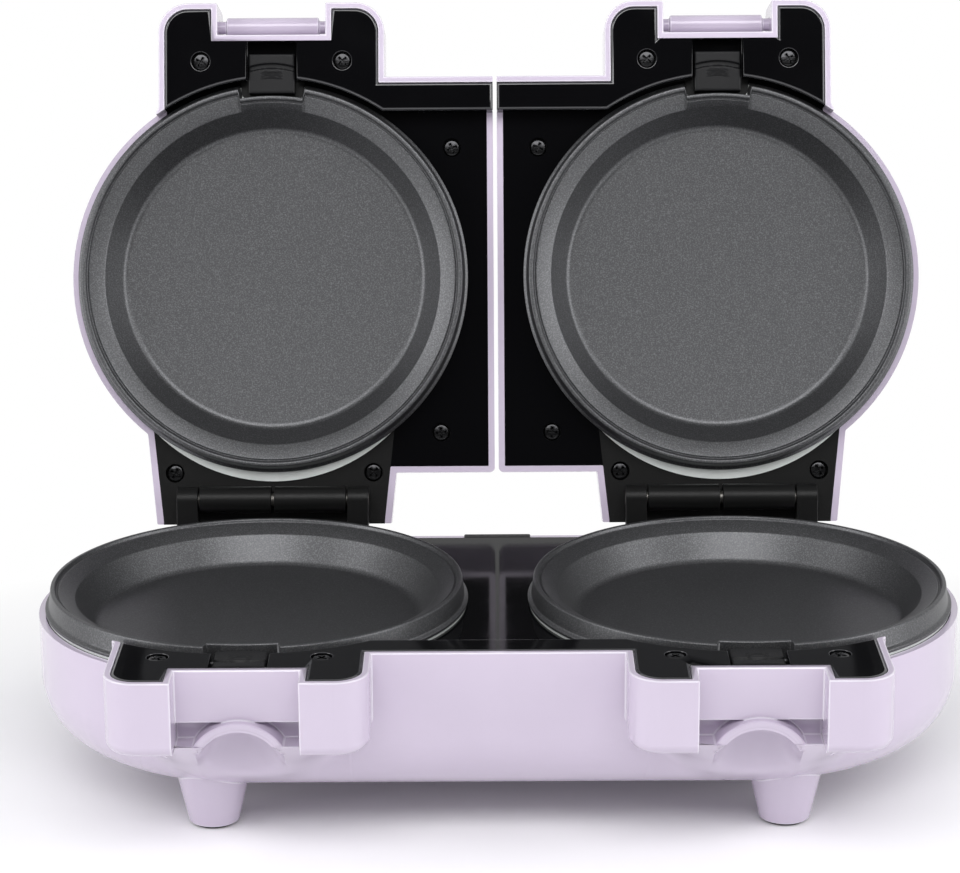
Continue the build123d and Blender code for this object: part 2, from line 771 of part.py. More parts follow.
def lid_body(inset, low):
    """The lid's domed body: round over the plate, square towards the other lid."""
    top = lid_height - inset
    drum = post(0, 0, housing_radius - inset, low, top)
    side = block(0, lid_side - inset, -lid_front + inset, lid_back - inset, low, top)
    corners = side.edges().filter_by(Axis.Z).sort_by(Axis.X)[-2:]
    if inset == 0:
        drum = fillet(edges_at(drum, top), lid_top_radius)
        side = fillet(corners, lid_corner_radius)
        side = fillet(edges_at(side, top), lid_side_radius)
    else:
        drum = chamfer(edges_at(drum, top), inner_cut * lid_top_radius)
        side = chamfer(edges_at(side, top), inner_cut * lid_side_radius)
    return drum + side


def lid_ears(inset, low):
    top = ear_height - inset
    corner = ear_corner - inset
    ears = slab(ear_outline(ear_half_width - inset, ear_front - inset, corner), low, top)
    edges = [e for e in edges_at(ears, top) if e.center().Y < -ear_root - 1]
    if inset == 0:
        return fillet(edges, ear_top_radius)
    return chamfer(edges, inner_cut * ear_top_radius)


def lid_hinge_side(inset, low):
    top = hinge_lid_height - inset
    shape = slab(hinge_outline(inset), low, top)
    edges = [e for e in edges_at(shape, top) if e.center().Y > hinge_root + 1]
    return chamfer(edges, hinge_edge_radius)


def lid_cover_outline():
    """The black cover inside the lid's rim."""
    side = area(0, lid_side - rim_wall, -lid_front + rim_wall, lid_back - rim_wall)
    side -= hinge_outline(rim_wall)
    return Circle(housing_radius - rim_wall) + side + ear_panel_outline()


def lid_shell():
    outer = lid_body(0, cover_face) + lid_ears(0, cover_face) + lid_hinge_side(0, cover_face)
    outer += flared_ears(cover_face, cover_face + 2 * housing_wall)
    outer -= gap_room(0, lid_height + 1)
    room = lid_body(housing_wall, cover_face - 1)
    ears_room = lid_ears(housing_wall, cover_face - 1)
    ears_room -= block(-gap_side_face, gap_side_face, -ear_front, -gap_wall_face, 0, lid_height)
    room += ears_room + lid_hinge_side(housing_wall, cover_face - 1)
    shell = outer - room
    shell -= slab(lid_cover_outline(), cover_face - 1, cover_back)
    shell -= slab(hinge_outline(rim_wall), cover_face - 1, cover_face + hinge_block_sheet)

    # Wall that comes down round the ears and along the flat front
    wall_ends = beside_ears(0, cover_face) - block(0, lid_side, -lid_front, 0, 0, cover_face)
    wall = flared_ears(facing_gap, cover_back) - slab(ear_panel_outline(), 0, lid_height)
    wall -= post(0, 0, strip_edge, 0, lid_height)
    wall -= block(panel_half_width - 1, lid_side, -lid_front + rim_wall, -ear_root, 0, lid_height)
    wall += block(panel_half_width, lid_side, -lid_front, -lid_front + rim_wall, facing_gap, cover_back)
    shell += wall - gap_room(0, lid_height) - wall_ends

    # Bores for the latch, screw posts, and holes for the lamps
    reach = gap_side_face + 1
    shell -= rod(-reach, reach, -latch_axis_out, latch_axis_up, latch_stub_radius + latch_stub_play)
    for x in (-front_screw_x, front_screw_x):
        shell += lid_boss(x, front_screw_y, ear_height - housing_wall)
    for x, y in side_screws:
        shell += upside_down(screw_boss(x, y, -lid_height + housing_wall, -cover_face - well_depth))
    low = cover_face + hinge_block_sheet
    for x in (-hinge_screw_x, hinge_screw_x):
        shell += upside_down(screw_boss(x, hinge_screw_y, -hinge_lid_height + housing_wall, -low))
    for x in (-lens_spacing / 2, lens_spacing / 2):
        shell -= post(x, lens_y, lens_radius, cover_back, lid_height + 1)
    return shell


def lid_boss(x, y, top):
    return upside_down(screw_boss(x, y, -top, -cover_back))


def lid_cover():
    cover = slab(lid_cover_outline(), cover_face, cover_back)
    bar = area(0, lid_side, -lid_front + rim_wall, -strip_back)
    strip = ear_panel_outline() + bar - Circle(strip_edge)
    cover += slab(strip, facing_gap, cover_face)
    cover -= post(0, 0, opening_radius, 0, cover_back + 1)
    cover -= channel(-5, catch_floor)
    for x in (-front_screw_x, front_screw_x):
        cover -= upside_down(sunk_hole(x, front_screw_y, -facing_gap, cover_back - facing_gap))
    for x, y in side_screws:
        cover += post(x, y, screw_hole_radius + well_wall, cover_face, cover_face + well_depth)
        cover -= upside_down(sunk_hole(x, y, -cover_face, well_depth))
    return cover


def hinge_block():
    """Black block under the lid's hinge side, with the two long middle knuckles."""
    top = cover_face + hinge_block_sheet
    body = slab(hinge_outline(rim_wall) - Circle(housing_radius - rim_wall), cover_face, top)
    width = knuckle_outer - knuckle_inner
    knuckle = rod(knuckle_inner, knuckle_outer, hinge_back, hinge_up, knuckle_radius)
    web = block(knuckle_inner, knuckle_inner + width, hinge_back - knuckle_radius * 0.7,
                hinge_back + knuckle_radius * 0.7, hinge_up, cover_face)
    body += knuckle + web
    body += mirror(knuckle + web, Plane.YZ)
    body -= rod(-hinge_end_half, hinge_end_half, hinge_back, hinge_up, hinge_pin_radius + hinge_pin_play)
    for x in (-hinge_screw_x, hinge_screw_x):
        body -= upside_down(sunk_hole(x, hinge_screw_y, -cover_face, hinge_block_sheet))
    return body


def lens():
    """Round lamp lens that pokes through the top of the lid."""
    collar = post(0, 0, lens_radius + lens_collar, lid_height - housing_wall - 2, lid_height - housing_wall)
    top = lid_height + lens_proud
    stem = post(0, 0, lens_radius, top - lens_length, top)
    stem = fillet(edges_at(stem, top), 0.8 * lens_proud)
    return collar + stem


def latch():
    """Latch flap, drawn hanging down in front of the ledge as when it holds the lid shut."""
    y = -latch_axis_out
    z = latch_axis_up
    face = y - latch_sheet / 2 - latch_strap_out
    back = face + latch_sheet
    barrel = rod(-latch_half_width, latch_half_width, y, z, latch_barrel_radius)
    stub_reach = gap_half_width + latch_stub_grip
    barrel += rod(-stub_reach, stub_reach, y, z, latch_stub_radius)
    strap = Polyline(
        (back, z),
        (back, -finger_lip_drop + 1.5),
        (back - finger_lip_out, -finger_lip_drop),
        (face - finger_lip_out, -finger_lip_drop + 1),
        (face, -finger_lip_drop + 5.5),
        (face, z),
        close=True,
    )
    flap = barrel + extrude(Plane.YZ * make_face(strap), latch_half_width, both=True)
    hook_top = -ledge_depth - hook_play
    hook_profile = Polyline(
        (back - 0.5, hook_top),
        (-gap_back + hook_reach, hook_top),
        (-gap_back + hook_reach, hook_top - hook_height * 0.6),
        (back - 0.5, hook_top - hook_height),
        close=True,
    )
    hook = extrude(Plane.YZ * make_face(hook_profile), hook_width)
    hook = Pos(latch_half_width - hook_width, 0, 0) * hook
    return flap + hook + mirror(hook, Plane.YZ)


def folded_back(shape):
    """The latch swung right over, to lie behind the lid's front edge."""
    here = Pos(0, -latch_axis_out, latch_axis_up)
    return here * Rot(-latch_swing, 0, 0) * here.inverse() * shape


def opened(shape):
    """A lid piece swung open about the hinge."""
    hinge = Pos(0, hinge_back, hinge_up)
    return hinge * Rot(-lid_open_angle, 0, 0) * hinge.inverse() * shape


# All pieces, each under its own name

def base_pieces():
    pieces = {"base_shell": base_shell(), "base_deck": base_deck()}
    halves = {
        "base_bowl": bowl(),
        "base_heater": heater(),
        "base_thermostat": thermostat(),
        "base_plate": plate(),
        "base_catch": catch(),
        "hinge_bracket": hinge_bracket(),
        "hinge_pin": hinge_pin(),
    }
    for name, shape in halves.items():
        pieces[name + "_left"] = on_left(shape)
        pieces[name + "_right"] = on_right(shape)
    deck_screw = screw(0, 0, -facing_gap - screw_sunk)
    bracket_screw = screw(0, 0, -hinge_shelf - screw_sunk)
    deck_screws = sum_of([Pos(x, deck_screw_y, 0) * deck_screw for x in (-front_screw_x, front_screw_x)])
    bracket_screws = sum_of([Pos(x, bracket_screw_y, 0) * bracket_screw for x in (-hinge_screw_x, hinge_screw_x)])
    pieces["deck_screws"] = on_both(deck_screws)
    pieces["bracket_screws"] = on_both(bracket_screws)
    pieces["foot_pads"] = foot_pads()
    pieces["cord_bush"] = cord_bush()
    pieces["terminal_block"] = terminal_block()
    return pieces


def sum_of(shapes):
    total = shapes[0]
    for shape in shapes[1:]:
        total += shape
    return total


def lid_pieces():
    front = screw(0, 0, facing_gap + screw_sunk, 1)
    side = screw(0, 0, cover_face + screw_sunk, 1)
    hinge_screw = screw(0, 0, hinge_screw_top, 1, hinge_screw_length)
    cover_screws = [Pos(x, front_screw_y, 0) * front for x in (-front_screw_x, front_screw_x)]
    cover_screws += [Pos(x, y, 0) * side for x, y in side_screws]
    halves = {
        "lid_shell": lid_shell(),
        "lid_cover": lid_cover(),
        "lid_bowl": upside_down(bowl()),
        "lid_heater": upside_down(heater()),
        "lid_thermostat": upside_down(thermostat()),
        "lid_plate": upside_down(plate()),
        "lid_catch": upside_down(catch()),
        "lid_cover_screws": sum_of(cover_screws),
        "hinge_block": hinge_block(),
        "hinge_screws": sum_of([Pos(x, hinge_screw_y, 0) * hinge_screw for x in (-hinge_screw_x, hinge_screw_x)]),
        "power_lens": Pos(-lens_spacing / 2, lens_y, 0) * lens(),
        "ready_lens": Pos(lens_spacing / 2, lens_y, 0) * lens(),
        "latch": folded_back(latch()),
    }
    pieces = {}
    for name, shape in halves.items():
        pieces[name + "_left"] = on_left(opened(shape))
        pieces[name + "_right"] = on_right(opened(shape))
    return pieces


def main():
    os.makedirs("parts", exist_ok=True)
    pieces = base_pieces()
    pieces.update(lid_pieces())
    boxes = [shape.bounding_box() for shape in pieces.values()]
    front = min(box.min.Y for box in boxes)
    back = max(box.max.Y for box in boxes)
    middle = (front + back) / 2
    stand = Pos(0, -middle, parting_height)
    for name, shape in pieces.items():
        piece = stand * shape
        piece.label = name
        export_step(piece, "parts/" + name + ".step")
    print("depth middle moved to the origin:", round(middle, 4))
    print("hinge axis at y", round(hinge_back - middle, 4), "z", round(hinge_up + parting_height, 4))
    swung = opened(Pos(0, -latch_axis_out, latch_axis_up) * Sphere(1)).center()
    print("latch axis at y", round(swung.Y - middle, 4), "z", round(swung.Z + parting_height, 4))


main()
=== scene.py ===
# %% [markdown]
# A double snack maker with both lids open, dressed for a studio picture. The hard
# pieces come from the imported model, which gives every size and place. This file rounds
# their edges, adds the details that are too fine for the model, and gives each piece its
# finish. All lengths are in metres.

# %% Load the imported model
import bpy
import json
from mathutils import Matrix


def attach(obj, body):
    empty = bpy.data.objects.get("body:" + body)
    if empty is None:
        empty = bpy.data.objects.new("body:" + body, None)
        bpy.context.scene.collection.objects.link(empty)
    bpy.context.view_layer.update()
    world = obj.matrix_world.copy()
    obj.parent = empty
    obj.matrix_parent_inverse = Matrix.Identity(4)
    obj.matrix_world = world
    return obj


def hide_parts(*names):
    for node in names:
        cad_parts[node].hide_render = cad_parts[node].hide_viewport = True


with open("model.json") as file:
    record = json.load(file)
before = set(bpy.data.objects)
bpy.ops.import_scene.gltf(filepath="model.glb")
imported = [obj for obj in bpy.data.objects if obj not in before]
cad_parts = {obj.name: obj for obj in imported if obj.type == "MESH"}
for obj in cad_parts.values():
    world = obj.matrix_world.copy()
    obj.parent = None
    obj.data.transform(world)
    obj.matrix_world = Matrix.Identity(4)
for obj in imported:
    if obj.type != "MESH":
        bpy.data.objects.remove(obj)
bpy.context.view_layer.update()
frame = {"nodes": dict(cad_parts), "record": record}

import bpy
import bmesh
import json
import math
from mathutils import Matrix, Vector

nodes = frame["nodes"]
print("pieces in the model:", len(nodes))

# %% [markdown]
# Every half of the appliance is described about the centre of its own plate, shut, with
# heights counted from the plane where lid and base meet. These values turn such places
# into places in the model, for the base and for a lid that leans back on its hinge.

# %% Where the halves are
half_pitch = 0.0879
parting = 0.0716
centre_y = -0.0404263
hinge_y = 0.0878
hinge_z = 0.0032
lean = math.radians(107)
sides = ("left", "right")


def base_place():
    """From a place about the left plate to its place in the base."""
    return Matrix.Translation((-half_pitch, centre_y, parting))


def lid_place():
    """The same for the left lid, leaning back about its hinge."""
    hinge = Matrix.Translation((0, hinge_y, hinge_z))
    return base_place() @ hinge @ Matrix.Rotation(-lean, 4, "X") @ hinge.inverted()


print("left plate centre:", tuple(round(v, 4) for v in base_place().translation))
print("left lid's plate centre:", tuple(round(v, 4) for v in lid_place().translation))

# %% [markdown]
# The camera stands in front and a little above, far away with a long lens, as product
# photographers do, so the lids and the base keep nearly true proportions. A small shift
# of the lens puts the appliance where the photograph has it.

# %% Camera
lens_data = bpy.data.cameras.new("studio_camera")
lens_data.lens = 113.75
lens_data.sensor_width = 36
lens_data.shift_x = 0.00444
lens_data.shift_y = -0.02885
camera = bpy.data.objects.new("studio_camera", lens_data)
camera.location = (-0.001638, -1.092622, 0.421858)
camera.rotation_euler = (1.3048197, 0.0070024, 0.0037585)
bpy.context.scene.collection.objects.link(camera)
bpy.context.scene.camera = camera
bpy.context.scene.view_settings.view_transform = "Standard"
print("lens:", lens_data.lens, "mm")

# %% [markdown]
# A material here is a small tree of shader nodes. The tree reads Object coordinates, so
# grain and speckle have real sizes and stay with the piece. One helper starts each
# finish. Others add what nearly every moulded or pressed surface has, a faint unevenness
# of colour and gloss and a fine relief. The last one tells the small rounds on the edges
# from the faces beside them. On the real piece those rounds look brighter because they
# catch the light, so the finishes paint a highlight on them.

# %% Helpers for finishes
def new_finish(name, colour, roughness, metallic=0.0):
    """A material with its plain values set, and the parts of its tree."""
    material = bpy.data.materials.new(name)
    material.use_nodes = True
    tree = material.node_tree
    shader = tree.nodes["Principled BSDF"]
    shader.inputs["Base Color"].default_value = (*colour, 1)
    shader.inputs["Roughness"].default_value = roughness
    shader.inputs["Metallic"].default_value = metallic
    place = tree.nodes.new("ShaderNodeTexCoord").outputs["Object"]
    return material, tree, shader, place


def noise(tree, place, size, detail=2.0, stretch=(1, 1, 1)):
    """Cloudy values whose blobs are about the given size, in metres."""
    scaled = tree.nodes.new("ShaderNodeMapping")
    scaled.inputs["Scale"].default_value = stretch
    tree.links.new(place, scaled.inputs["Vector"])
    cloud = tree.nodes.new("ShaderNodeTexNoise")
    cloud.inputs["Scale"].default_value = 1 / size
    cloud.inputs["Detail"].default_value = detail
    tree.links.new(scaled.outputs["Vector"], cloud.inputs["Vector"])
    return cloud.outputs["Fac"]


def between(tree, value, low_in, high_in, low_out, high_out):
    """A value carried from one range to another."""
    mapped = tree.nodes.new("ShaderNodeMapRange")
    mapped.inputs["From Min"].default_value = low_in
    mapped.inputs["From Max"].default_value = high_in
    mapped.inputs["To Min"].default_value = low_out
    mapped.inputs["To Max"].default_value = high_out
    tree.links.new(value, mapped.inputs["Value"])
    return mapped.outputs["Result"]


def colour_mix(tree, value, first, second):
    """A colour that goes from one to another with a value."""
    mixed = tree.nodes.new("ShaderNodeMix")
    mixed.data_type = "RGBA"
    for name, colour in (("A", first), ("B", second)):
        if isinstance(colour, bpy.types.NodeSocket):
            tree.links.new(colour, mixed.inputs[name])
        else:
            mixed.inputs[name].default_value = (*colour, 1)
    tree.links.new(value, mixed.inputs["Factor"])
    return mixed.outputs["Result"]


def relief(tree, shader, value, height, strength=1.0):
    """Fine relief on a surface from a value between 0 and 1."""
    bump = tree.nodes.new("ShaderNodeBump")
    bump.inputs["Strength"].default_value = strength
    bump.inputs["Distance"].default_value = height
    tree.links.new(value, bump.inputs["Height"])
    tree.links.new(bump.outputs["Normal"], shader.inputs["Normal"])


def rounded_part(tree):
    """How far a place lies on a rounded edge: 1 on the small rounds and 0 elsewhere."""
    mark = tree.nodes.new("ShaderNodeAttribute")
    mark.attribute_name = "rounded"
    return mark.outputs["Fac"]


finishes = {}
print("finish helpers ready")

# %% [markdown]
# The housings and latches are glossy lilac plastic. Moulded plastic is never even: its gloss
# changes a little where the mould was worn, and its skin has a very faint ripple that
# softens reflections. The rounds on its edges catch the light on the real piece, so here
# they are painted a little paler: a painted highlight.

# %% Lilac plastic
lilac = (0.56, 0.49, 0.6)
lilac_shade = (0.55, 0.482, 0.594)
lilac_tint = (0.573, 0.502, 0.618)
# painted highlight: a paler lilac put on the rounded edges in place of the light they catch
lilac_painted_highlight = (0.86, 0.84, 0.89)


def lilac_plastic():
    material, tree, shader, place = new_finish("lilac_plastic", lilac, 0.2)
    cloud = noise(tree, place, 0.03)
    body = colour_mix(tree, cloud, lilac_shade, lilac_tint)
    # painted highlight: the rounds get up to 45 per cent of the paler lilac
    edge = between(tree, rounded_part(tree), 0.0, 1.0, 0.0, 0.45)
    tree.links.new(colour_mix(tree, edge, body, lilac_painted_highlight), shader.inputs["Base Color"])
    tree.links.new(between(tree, cloud, 0.3, 0.7, 0.17, 0.24), shader.inputs["Roughness"])
    shader.inputs["Coat Weight"].default_value = 0.6
    shader.inputs["Coat Roughness"].default_value = 0.05
    relief(tree, shader, noise(tree, place, 0.0035), 0.00004, 0.25)
    return material


finishes["lilac_plastic"] = lilac_plastic()
print("lilac plastic made")

# %% [markdown]
# The covers round the plates are polished black plastic. Nearly all of their look is
# reflection, so they get a very dark colour, low roughness, and a trace of fine haze
# from handling. Their rounds mirror more than their flat faces do, and their colour is
# painted a little lighter as a painted highlight. The hinge parts, the cord's bush and
# the release catches are a plainer satin black.

# %% Black plastics
polished_black = (0.0025, 0.0025, 0.003)
# painted highlight: a lighter black put on the rounded edges
black_painted_highlight = (0.03, 0.03, 0.033)
catch_black = (0.009, 0.009, 0.01)
satin_black = (0.0045, 0.0045, 0.0045)


def black_gloss_plastic():
    material, tree, shader, place = new_finish("black_gloss_plastic", polished_black, 0.08)
    haze = noise(tree, place, 0.02, detail=6)
    tree.links.new(between(tree, haze, 0.35, 0.75, 0.05, 0.12), shader.inputs["Roughness"])
    edge = rounded_part(tree)
    tree.links.new(between(tree, edge, 0.0, 1.0, 0.08, 1.0), shader.inputs["Specular IOR Level"])
    # painted highlight: the rounds' colour goes from the polished black to the lighter black
    tree.links.new(colour_mix(tree, edge, polished_black, black_painted_highlight), shader.inputs["Base Color"])
    relief(tree, shader, noise(tree, place, 0.006), 0.00003, 0.2)
    return material


def satin_plastic(name, colour, roughness):
    """Plain moulded plastic with a fine spark-eroded grain."""
    material, tree, shader, place = new_finish(name, colour, roughness)
    shader.inputs["Specular IOR Level"].default_value = 0.25
    grain = noise(tree, place, 0.0006, detail=4)
    gloss = between(tree, grain, 0.3, 0.7, roughness - 0.07, roughness + 0.07)
    tree.links.new(gloss, shader.inputs["Roughness"])
    relief(tree, shader, grain, 0.00005, 0.35)
    return material


finishes["black_gloss_plastic"] = black_gloss_plastic()
finishes["dark_matte_plastic"] = satin_plastic("dark_matte_plastic", catch_black, 0.42)
finishes["black_matte_plastic"] = satin_plastic("black_matte_plastic", satin_black, 0.4)
print("black plastics made")

# %% [markdown]
# The cooking plates are cast aluminium sprayed with a dark non-stick coating. Close up
# it is a matt charcoal film full of tiny paler flecks, and the spray leaves a faint
# orange-peel relief that spreads the light.

# %% Non-stick coating
charcoal_film = (0.105, 0.106, 0.111)
pale_fleck = (0.205, 0.207, 0.215)


def nonstick_coating():
    material, tree, shader, place = new_finish("nonstick_coating", (0.1, 0.1, 0.105), 0.45, metallic=0.9)
    flecks = noise(tree, place, 0.0005, detail=3)
    spots = between(tree, flecks, 0.45, 0.75, 0.0, 1.0)
    tree.links.new(colour_mix(tree, spots, charcoal_film, pale_fleck), shader.inputs["Base Color"])
    tree.links.new(between(tree, flecks, 0.3, 0.7, 0.36, 0.46), shader.inputs["Roughness"])
    relief(tree, shader, noise(tree, place, 0.0009, detail=4), 0.00006, 0.4)
    return material


finishes["nonstick_coating"] = nonstick_coating()
print("non-stick coating made")

# %% [markdown]
# The bowls under the plates are zinc-coated sheet steel. Its coating is bright and a
# little cloudy, with fine rolling lines along the sheet. The heaters and pins are duller
# steel, the thermostats are plain aluminium, and the screws are blackened steel.

# %% Metals
def sheet_metal(name, colour, roughness, metallic=1.0, line_size=0.0004):
    """Metal with fine lines along x and a cloudy tone."""
    material, tree, shader, place = new_finish(name, colour, roughness, metallic=metallic)
    lines = noise(tree, place, line_size, detail=3, stretch=(0.03, 1, 1))
    clouds = noise(tree, place, 0.012, detail=4)
    darker = tuple(0.8 * part for part in colour)
    tree.links.new(colour_mix(tree, clouds, darker, colour), shader.inputs["Base Color"])
    gloss = between(tree, lines, 0.3, 0.7, roughness - 0.1, roughness + 0.1)
    tree.links.new(gloss, shader.inputs["Roughness"])
    relief(tree, shader, lines, 0.00003, 0.3)
    return material


finishes["galvanised_steel"] = sheet_metal("galvanised_steel", (0.82, 0.85, 0.83), 0.48, metallic=0.5)
finishes["heater_steel"] = sheet_metal("heater_steel", (0.3, 0.29, 0.27), 0.45)
finishes["bright_aluminium"] = sheet_metal("bright_aluminium", (0.8, 0.8, 0.8), 0.35)
finishes["blackened_steel"] = sheet_metal("blackened_steel", (0.06, 0.06, 0.063), 0.22)
print("metals made")

# %% [markdown]
# The small fittings have their own finishes: grey-black rubber under the feet, a white
# unglazed ceramic terminal block, and clear red and green plastic over the lamps.

# %% Small fittings' finishes
def foot_rubber():
    material, tree, shader, place = new_finish("foot_rubber", (0.02, 0.02, 0.02), 0.8)
    grain = noise(tree, place, 0.0008, detail=5)
    speckled = colour_mix(tree, grain, (0.014, 0.014, 0.014), (0.03, 0.03, 0.03))
    tree.links.new(speckled, shader.inputs["Base Color"])
    relief(tree, shader, grain, 0.00008, 0.5)
    return material


def white_ceramic():
    material, tree, shader, place = new_finish("white_ceramic", (0.75, 0.73, 0.68), 0.6)
    pores = noise(tree, place, 0.001, detail=4)
    chalky = colour_mix(tree, pores, (0.66, 0.64, 0.58), (0.8, 0.78, 0.74))
    tree.links.new(chalky, shader.inputs["Base Color"])
    relief(tree, shader, pores, 0.00006, 0.4)
    return material


def lamp_lens(name, colour):
    """Coloured plastic over a lamp, its tone a little darker in places."""
    material, tree, shader, place = new_finish(name, colour, 0.12)
    depth = noise(tree, place, 0.002)
    darker = tuple(0.6 * part for part in colour)
    tree.links.new(colour_mix(tree, depth, darker, colour), shader.inputs["Base Color"])
    shader.inputs["Coat Weight"].default_value = 0.5
    return material


finishes["foot_rubber"] = foot_rubber()
finishes["white_ceramic"] = white_ceramic()
finishes["red_lens"] = lamp_lens("red_lens", (0.5, 0.01, 0.01))
finishes["green_lens"] = lamp_lens("green_lens", (0.02, 0.35, 0.05))
print("finishes:", ", ".join(finishes))

# %% [markdown]
# Every piece of the model gets the finish that the record names for it.

# %% Finish for each piece of the model
slot_of = {entry["node"]: entry["material_slot"] for entry in frame["record"]["subparts"]}
for name, node in nodes.items():
    node.data.materials.clear()
    node.data.materials.append(finishes[slot_of[name]])
print("pieces given a finish:", len(slot_of))

# %% [markdown]
# A new piece is shaped about the left half, the right way up for the base, and then put
# where it belongs. Its mirror image serves the right half, and turned upside down it
# serves a lid. Mirroring turns a mesh inside out, so its faces are turned round again.

# %% Put a shape in its place
def smooth(mesh, angle=32):
    """Smooth shading that stays crisp where faces meet at more than the angle."""
    for face in mesh.polygons:
        face.use_smooth = True
    mesh.set_sharp_from_angle(angle=math.radians(angle))


def finish_piece(shape, name, finish, body, stands_for=()):
    """Makes a piece of a finished shape and ties it to the body that it moves with."""
    mesh = bpy.data.meshes.new(name)
    shape.to_mesh(mesh)
    shape.free()
    smooth(mesh)
    mesh.materials.append(finishes[finish])
    piece = bpy.data.objects.new(name, mesh)
    bpy.context.scene.collection.objects.link(piece)
    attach(piece, body)
    if stands_for:
        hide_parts(*stands_for)
    return piece


turned_over = Matrix.Scale(-1, 4, (0, 0, 1))
mirrored = Matrix.Scale(-1, 4, (1, 0, 0))


def put_on_both(shape, name, place, finish, body, stands_for=None):
    """Puts a left-hand shape on the left, and its mirror image on the right."""
    for side in sides:
        half = shape.copy()
        whole = mirrored @ place if side == "right" else place
        bmesh.ops.transform(half, matrix=whole, verts=half.verts)
        if whole.determinant() < 0:
            bmesh.ops.reverse_faces(half, faces=half.faces)
        solids = (f"{stands_for}_{side}",) if stands_for else ()
        piece = finish_piece(half, f"{name}_{side}", finish, body.format(side), solids)
    shape.free()
    print(name, "faces:", len(piece.data.polygons))


print("ready to place pieces")

# %% [markdown]
# The fine forms are found, and the new ones drawn, by their places about one half in
# millimetres: x across from the plate's centre, y from front to back, and z up from the
# plane where lid and base meet. The base is a tub with a rolled bottom edge. In front it
# has a gap for the latch, and under the gap a chin slopes back below an arch, which is
# the mouth of a hollow for the finger.

# %% Places of the fine forms
strip_face = 0.8
strip_front = -92.9
channel_half = 11.5
gap_half = 24.0
gap_wall_front = -93.1
gap_wall_back = -92.2
cover_seat = 9.45
lid_corner_x = 84.5
lid_corner_y = -75.8
front_screw_x = 27.9
deck_screw_y = -81.7
cover_screw_y = -84.9
screw_border = 4.5
arch_centre = -36.7
mouth_radius = 15.0
hollow_front = -98.0
hollow_back = -84.0
chin_half = 21.3
chin_foot = -50.8
slope_top = -27.0
tub_reach = 55.3
tub_round = 24.0
tub_round_top = -31.6
print("arch radius:", mouth_radius, "mm, chin from", slope_top, "to", chin_foot, "mm")

# %% [markdown]
# The housings and covers have the right shape already, but their edges are as sharp as
# a drawing. On the real mouldings every edge has a small round that catches the light,
# and most of what one sees of a glossy edge is that line of light. A copy of the model's
# mesh is welded together, its flat triangles are joined, and a narrow bevel rounds each
# sharp edge. The raised black strip round the plates has a broader round. A few edges
# have no room for a round and stay as they are. The new faces carry a mark that the
# finishes read, and weighted normals keep the flat faces flat. The base housing's chins
# are taken out here, because they get a skin of their own further on.

# %% Housings and covers with rounded edges
tolerance = 0.03
sharp_angle = 28
upright_angle = 60
strip_round = 0.0011


def about_half(point, place):
    """Where a point of the model lies about its own half, shut, in millimetres."""
    left = Vector((-abs(point.x), point.y, point.z))
    return 1000 * (place.inverted() @ left)


def outline_of_strip(edge, place):
    """Whether an edge is part of the raised black strip's outline, which has a broad round."""
    ends = [about_half(v.co, place) for v in edge.verts]
    on_face = all(abs(abs(p.z) - strip_face) <= tolerance for p in ends)
    in_channel = all(abs(p.x) < channel_half for p in ends)
    in_front = all(abs(p.y - strip_front) < 0.1 for p in ends)
    from_screws = [math.hypot(abs(p.x) - front_screw_x, p.y - screw_y)
                   for p in ends for screw_y in (deck_screw_y, cover_screw_y)]
    return on_face and not in_channel and not in_front and min(from_screws) > screw_border


def too_thin(edge, place):
    """Whether an edge lies where there is no room for a round."""
    ends = [about_half(v.co, place) for v in edge.verts]
    seated = all(abs(abs(p.z) - cover_seat) < tolerance for p in ends)
    end_wall = all(abs(p.x) < gap_half and gap_wall_front < p.y < gap_wall_back for p in ends)
    corner = all(p.x > lid_corner_x and p.y < lid_corner_y for p in ends)
    return seated or end_wall or corner


def tub_face(x, z):
    """How far forward the round-edged tub reaches at a place about one half."""
    reach = tub_reach + math.sqrt(max(0.0, tub_round ** 2 - max(0.0, tub_round_top - z) ** 2))
    return -math.sqrt(max(0.0, reach ** 2 - x ** 2)) if x < 0 else -reach


def on_chin(face):
    """Whether a face of the base housing is part of a chin, which gets a skin of its own."""
    p = about_half(face.calc_center_median(), base_place())
    lowest = min(about_half(v.co, base_place()).z for v in face.verts)
    within_mouth = math.hypot(p.x, p.z - arch_centre) < mouth_radius + 0.1
    within_slope = abs(p.x) < chin_half + 0.5 and lowest > chin_foot and p.z < slope_top - 0.2
    proud = p.y < tub_face(p.x, p.z) - 0.15
    return (within_mouth and hollow_front < p.y < hollow_back) or (within_slope and proud)


def sharp_edges(shape, place, angle):
    """The edges that get a round: those that turn more than the angle and have room for one."""
    inner = [edge for edge in shape.edges if len(edge.link_faces) == 2]
    sharp = [edge for edge in inner if edge.calc_face_angle() > math.radians(angle)]
    return [edge for edge in sharp if not too_thin(edge, place)]


def round_edges(shape, edges, width, segments):
    """Rounds edges and marks the new faces, so that a finish can tell the rounds apart."""
    mark = shape.faces.layers.float["rounded"]
    made = bmesh.ops.bevel(shape, geom=edges, offset=width, offset_type="OFFSET", segments=segments,
                           profile=0.5, affect="EDGES", clamp_overlap=False, material=-1)
    for face in made["faces"]:
        face[mark] = 1.0


